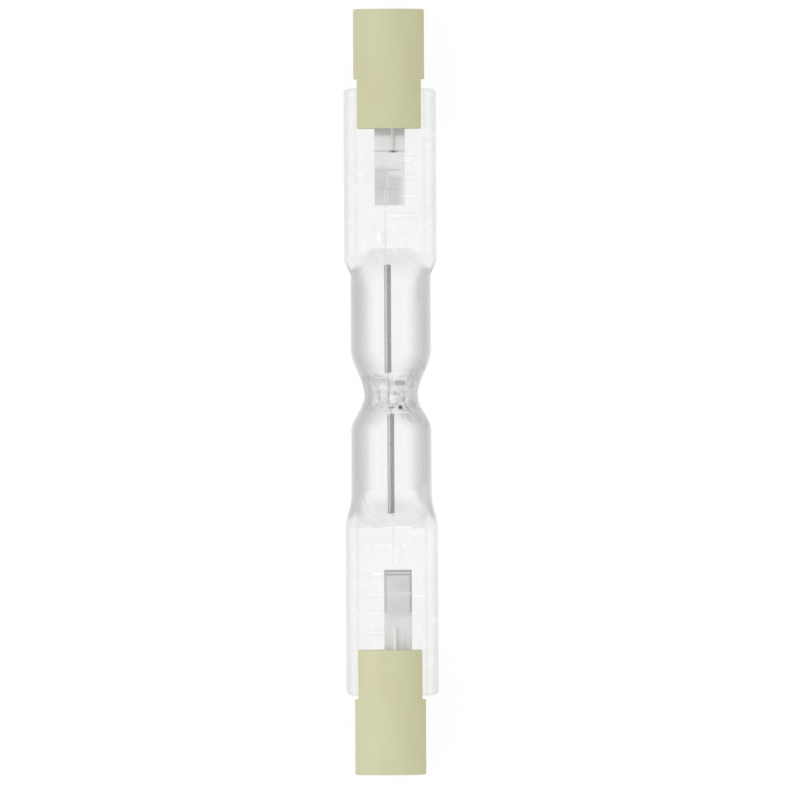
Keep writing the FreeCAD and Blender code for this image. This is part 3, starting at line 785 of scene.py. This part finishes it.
for side in SIDES:
    metal = molybdenum_foil(side, FOIL_GREY[side], FOIL_MARKS_AND_SHADOW[side])
    strip = on_side(foil_strip(**FOILS[side]), side)
    make_piece("foil_strip_" + side, [strip], metal, ["foil_" + side])

# Ceramic caps. Steatite turned or pressed to a cylinder and fired: a slot across the inner
# end leaves two tongues that hold the blade, and a recess in the outer end takes the contact.
HALF_LENGTH = 39.15
CAP_RADIUS = 3.625
CAP_SIDES = 128
CAP_LENGTHS = {"left": 12.75, "right": 12.2}
CAP_EDGE_ROUND = 0.14
SLOT_HALF_WIDTH = 1.45
SLOT_DEPTH = 5.05
TONGUE_END_ROUND = 0.07
TONGUE_ARC_CUT = 0.03
TONGUE_CHORD_CUT = 0.1
TONGUE_ARC_POINTS = 60
TONGUE_CHORD_POINTS = 24
RECESS_RADIUS = 2.0
RECESS_EDGE_ROUND = 0.12
RECESS_FLOOR_ROUND = 0.08
SEAT_RADIUS = 1.8
CONTACT_FACE = 37.45
CONTACT_BACK = 36.65
LEAD_HOLE_RADIUS = 0.6
CAP_LIGHT = {"left": 1.04, "right": 1.0}
CAP_OFF_CENTRE = {"left": 0.22, "right": 0.08}
CERAMIC_DARK = (0.612, 0.604, 0.375)
CERAMIC_PALE = (0.645, 0.638, 0.425)
CERAMIC_YELLOWING = (0.985, 0.99, 0.88, 1)


def fillet(corner, before, after, radius, steps):
    """Points of a small arc that rounds a right corner of an outline, from one side to the
    other: corner + r (before (1 - sin a) + after (1 - cos a))."""
    angle = np.linspace(0, np.pi / 2, steps)[:, None]
    before, after = np.array(before, float), np.array(after, float)
    return np.array(corner) + radius * (before * (1 - np.sin(angle)) + after * (1 - np.cos(angle)))


def turned(profile, sides):
    """A profile of (x, radius) points turned about the axis: y = r cos v, z = r sin v."""
    v = 2 * np.pi * np.arange(sides)[None, :] / sides
    x, radius = profile[:, :1], profile[:, 1:]
    return np.stack(np.broadcast_arrays(x, radius * np.cos(v), radius * np.sin(v)), axis=-1)


def cap_body(inner):
    """The round part, from the slot's floor to the outer face, with its recess and lead hole:
    its outline of straight lines and fillets, turned about the axis."""
    floor = inner + SLOT_DEPTH
    return turned(np.concatenate([
        [(floor, LEAD_HOLE_RADIUS), (floor, CAP_RADIUS - 0.02), (floor, CAP_RADIUS)],
        fillet((HALF_LENGTH, CAP_RADIUS), (-1, 0), (0, -1), CAP_EDGE_ROUND, 7),
        fillet((HALF_LENGTH, RECESS_RADIUS), (0, 1), (-1, 0), RECESS_EDGE_ROUND, 6),
        fillet((CONTACT_FACE, RECESS_RADIUS), (1, 0), (0, -1), RECESS_FLOOR_ROUND, 5),
        [(CONTACT_FACE, SEAT_RADIUS), (CONTACT_BACK, SEAT_RADIUS)],
        [(CONTACT_BACK, LEAD_HOLE_RADIUS), (floor, LEAD_HOLE_RADIUS)],
    ]), CAP_SIDES)


def cap_tongue(inner, face):
    """A circular segment with its two corners cut, carried from the cap's inner end to the
    slot's floor. Its first rings are drawn in by an arc, r (1 - sin a), which rounds the inner
    end. It stands above the slot (face = 1) or below it (-1)."""
    reach = math.acos(SLOT_HALF_WIDTH / CAP_RADIUS)
    turn = np.linspace(-reach + TONGUE_ARC_CUT, reach - TONGUE_ARC_CUT, TONGUE_ARC_POINTS)
    arc = np.stack([CAP_RADIUS * np.sin(turn), CAP_RADIUS * np.cos(turn)], axis=-1)
    corner = CAP_RADIUS * math.sin(reach)
    flat = np.linspace(corner - TONGUE_CHORD_CUT, -corner + TONGUE_CHORD_CUT, TONGUE_CHORD_POINTS)
    chord = np.stack([flat, np.full(TONGUE_CHORD_POINTS, SLOT_HALF_WIDTH)], axis=-1)
    outline = np.concatenate([arc, chord])
    ahead = np.roll(outline, -1, axis=0) - np.roll(outline, 1, axis=0)
    inward = np.stack([ahead[:, 1], -ahead[:, 0]], axis=-1)
    inward = inward / np.linalg.norm(inward, axis=1, keepdims=True)
    angle = np.linspace(0, np.pi / 2, 6)
    inset = np.append(TONGUE_END_ROUND * (1 - np.sin(angle)), 0.0)
    x = np.append(inner + TONGUE_END_ROUND * (1 - np.cos(angle)), inner + SLOT_DEPTH)
    section = outline[None] + inward[None] * inset[:, None, None]
    middle = np.array((0.0, (SLOT_HALF_WIDTH + CAP_RADIUS) / 2))
    closing = np.broadcast_to(middle, (1,) + outline.shape)
    section = np.concatenate([closing, section, closing]) * face
    x = np.concatenate([[inner], x, [inner + SLOT_DEPTH]])
    x = np.broadcast_to(x[:, None], section.shape[:2])
    return np.stack([x, section[..., 0], section[..., 1]], axis=-1)[:, ::-1]


def fired_ceramic(name, light):
    """Matt greenish-cream steatite: soft mottling, fine grain, and a trace more yellow to one
    side. The two caps came from different firings, so one is a little lighter."""
    finish = Finish("fired steatite " + name, Roughness=0.6, Specular_IOR_Level=0.35)
    mottle = finish.ramp(finish.noise(520.0, 4.0, (0.35, 1, 1)), [
        (0.3, tuple(light * part for part in CERAMIC_DARK)),
        (0.72, tuple(light * part for part in CERAMIC_PALE))])
    yellow = finish.mixed(1.0, mottle, CERAMIC_YELLOWING, "MULTIPLY")
    colour = finish.mixed(finish.zone(finish.y, -5, -2.2, 1.6), mottle, yellow)
    finish.bump(finish.noise(5200.0, 3.0), 0.3, 0.02)
    return finish.done(colour)


for side in SIDES:
    inner = HALF_LENGTH - CAP_LENGTHS[side]
    shells = [cap_body(inner), cap_tongue(inner, 1), cap_tongue(inner, -1)]
    shells = [on_side(shell, side) + (0, CAP_OFF_CENTRE[side], 0) for shell in shells]
    ceramic = fired_ceramic(side, CAP_LIGHT[side])
    make_piece("cap_" + side, shells, ceramic, ["ceramic_cap_" + side])

# Contacts. Nickel-plated heads at the bottom of the recesses, each with a shank crimped round
# the thick lead.
HEAD_RADIUS = 1.75
HEAD_EDGE_ROUND = 0.15
HEAD_SIDES = 64
DISH_MARGIN = 0.2
DISH_DEPTH = 0.12
DISH_RINGS = 14
SHANK_RADIUS = 0.55
SHANK_END = 35.05


def contact_button():
    """A turned head with a shallow dish in its face, D (1 - (r / R)^2) deep, and a hollow shank
    behind it."""
    rings = np.linspace(HEAD_RADIUS - DISH_MARGIN, 0, DISH_RINGS)
    depth = DISH_DEPTH * (1 - (rings / HEAD_RADIUS) ** 2)
    return turned(np.concatenate([
        [(CONTACT_BACK, OUTER_LEAD_RADIUS), (SHANK_END, OUTER_LEAD_RADIUS)],
        [(SHANK_END, SHANK_RADIUS), (CONTACT_BACK, SHANK_RADIUS), (CONTACT_BACK, HEAD_RADIUS)],
        fillet((CONTACT_FACE, HEAD_RADIUS), (-1, 0), (0, -1), HEAD_EDGE_ROUND, 7),
        np.stack([CONTACT_FACE - depth, rings], axis=-1),
        [(CONTACT_BACK, 0), (CONTACT_BACK, OUTER_LEAD_RADIUS)],
    ]), HEAD_SIDES)


def nickel_plate():
    """Satin nickel with faint turning marks."""
    finish = Finish("nickel plate", Metallic=1.0, Roughness=0.32)
    return finish.done(finish.ramp(finish.noise(2500.0, 3.0), [
        (0.3, (0.56, 0.54, 0.5)), (0.7, (0.74, 0.72, 0.68))]))


nickel = nickel_plate()
for side in SIDES:
    button = on_side(contact_button(), side) + (0, CAP_OFF_CENTRE[side], 0)
    make_piece("contact_" + side, [button], nickel, ["contact_button_" + side])

# Cement. A pale putty of ceramic powder, pressed into each cap's slot round the blade and its
# lead and baked hard, which holds the cap on the glass. The solids' own blocks have its shape,
# and get its finish here.


def baked_cement():
    """Off-white, coarse and matt, with small pits."""
    finish = Finish("baked cement", Roughness=0.85)
    grit = finish.noise(2600.0, 5.0)
    finish.bump(grit, 0.8, 0.08)
    return finish.done(finish.ramp(grit, [
        (0.3, (0.58, 0.55, 0.46)), (0.65, (0.75, 0.72, 0.63))]))


cement = baked_cement()
for name in ("cement_left", "cement_right"):
    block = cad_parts[name].data
    block.materials.clear()
    block.materials.append(cement)

# Floor and surroundings. A plain white table under even studio light, a little stronger from
# the lamp's left. What the camera and the glass see of them is white, and the lamp's own
# shadow still falls on the floor.
TABLE_HALF_SIZE = 3
TABLE_FAINT_GREY = 0.09
TABLE_GLOW = 0.925
STUDIO_LIGHT = 0.88
STUDIO_IN_REFLECTIONS = 0.6
STUDIO_SEEN = 1.0


def of_kind(nodes, link, kinds):
    """1 where a ray is of one of these kinds, and 0 elsewhere."""
    ray = nodes.new("ShaderNodeLightPath")
    seen = ray.outputs[kinds[0]]
    for kind in kinds[1:]:
        either = nodes.new("ShaderNodeMath")
        either.operation = "MAXIMUM"
        link(seen, either.inputs[0])
        link(ray.outputs[kind], either.inputs[1])
        seen = either.outputs["Value"]
    return seen


def white_table():
    """Matt white that shows nearly full white to the camera, through glass and in metal."""
    material = bpy.data.materials.new("white table")
    material.use_nodes = True
    nodes = material.node_tree.nodes
    link = material.node_tree.links.new
    nodes.clear()
    matt = nodes.new("ShaderNodeBsdfDiffuse")
    faint = nodes.new("ShaderNodeBsdfDiffuse")
    faint.inputs["Color"].default_value = grey(TABLE_FAINT_GREY)
    glow = nodes.new("ShaderNodeEmission")
    glow.inputs["Strength"].default_value = TABLE_GLOW
    shown = nodes.new("ShaderNodeAddShader")
    link(faint.outputs["BSDF"], shown.inputs[0])
    link(glow.outputs["Emission"], shown.inputs[1])
    either = nodes.new("ShaderNodeMixShader")
    seen = of_kind(nodes, link, ("Is Camera Ray", "Is Transmission Ray", "Is Glossy Ray"))
    link(seen, either.inputs["Fac"])
    link(matt.outputs["BSDF"], either.inputs[1])
    link(shown.outputs["Shader"], either.inputs[2])
    output = nodes.new("ShaderNodeOutputMaterial")
    link(either.outputs["Shader"], output.inputs["Surface"])
    return material


def white_studio():
    """Even white light all round: weaker in reflections, and full white where it is seen."""
    world = bpy.data.worlds.new("studio")
    world.use_nodes = True
    nodes = world.node_tree.nodes
    link = world.node_tree.links.new
    backdrop = nodes["Background"]
    backdrop.inputs["Color"].default_value = grey(1)
    reflected = nodes.new("ShaderNodeMix")
    link(of_kind(nodes, link, ("Is Glossy Ray",)), reflected.inputs[0])
    reflected.inputs[2].default_value = STUDIO_LIGHT
    reflected.inputs[3].default_value = STUDIO_IN_REFLECTIONS
    seen = nodes.new("ShaderNodeMix")
    link(of_kind(nodes, link, ("Is Camera Ray", "Is Transmission Ray")), seen.inputs[0])
    link(reflected.outputs[0], seen.inputs[2])
    seen.inputs[3].default_value = STUDIO_SEEN
    link(seen.outputs[0], backdrop.inputs["Strength"])
    return world


def soft_box(name, place, aim, size, watts):
    """A square studio lamp at a place, turned towards its aim."""
    lamp = bpy.data.lights.new(name, "AREA")
    lamp.size = size
    lamp.energy = watts
    fitting = bpy.data.objects.new(name, lamp)
    fitting.location = place
    fitting.rotation_euler = (Vector(aim) - Vector(place)).to_track_quat("-Z", "Y").to_euler()
    bpy.context.scene.collection.objects.link(fitting)


table = bpy.data.meshes.new("table")
corners = [(TABLE_HALF_SIZE * x, TABLE_HALF_SIZE * y, 0)
           for x, y in ((-1, -1), (1, -1), (1, 1), (-1, 1))]
table.from_pydata(corners, [], [(0, 1, 2, 3)])
table.materials.append(white_table())
table_top = bpy.data.objects.new("table", table)
bpy.context.scene.collection.objects.link(table_top)
bpy.context.scene.world = white_studio()
soft_box("key light", place=(0.05, 0.42, 0.36), aim=(0, 0, 0), size=0.32, watts=0.45)

# Camera. Straight above, far off with a long lens, and turned a third of a degree, as the
# lamp is in the picture.
IMAGE_SIZE = 800
PIXEL = 0.0001023
LAMP_CENTRE = (391.1, 391.95)
LENS = 1000.0
SENSOR = 36
LEAN = 0.0052
right = Vector((-LEAN, -1, 0)).normalized()
up = Vector((1, -LEAN, 0)).normalized()
middle = Vector((0, 0, AXIS_HEIGHT / 1000))
middle = middle + right * (IMAGE_SIZE / 2 - LAMP_CENTRE[0]) * PIXEL
middle = middle - up * (IMAGE_SIZE / 2 - LAMP_CENTRE[1]) * PIXEL
height = Vector((0, 0, IMAGE_SIZE * PIXEL * LENS / SENSOR))
view = bpy.data.cameras.new("view from above")
view.lens = LENS
view.clip_end = 10
camera = bpy.data.objects.new("view from above", view)
turn = Matrix((right, up, (0, 0, 1))).transposed().to_4x4()
camera.matrix_world = Matrix.Translation(middle + height) @ turn
bpy.context.scene.collection.objects.link(camera)
bpy.context.scene.camera = camera
bpy.context.scene.view_settings.view_transform = "Standard"
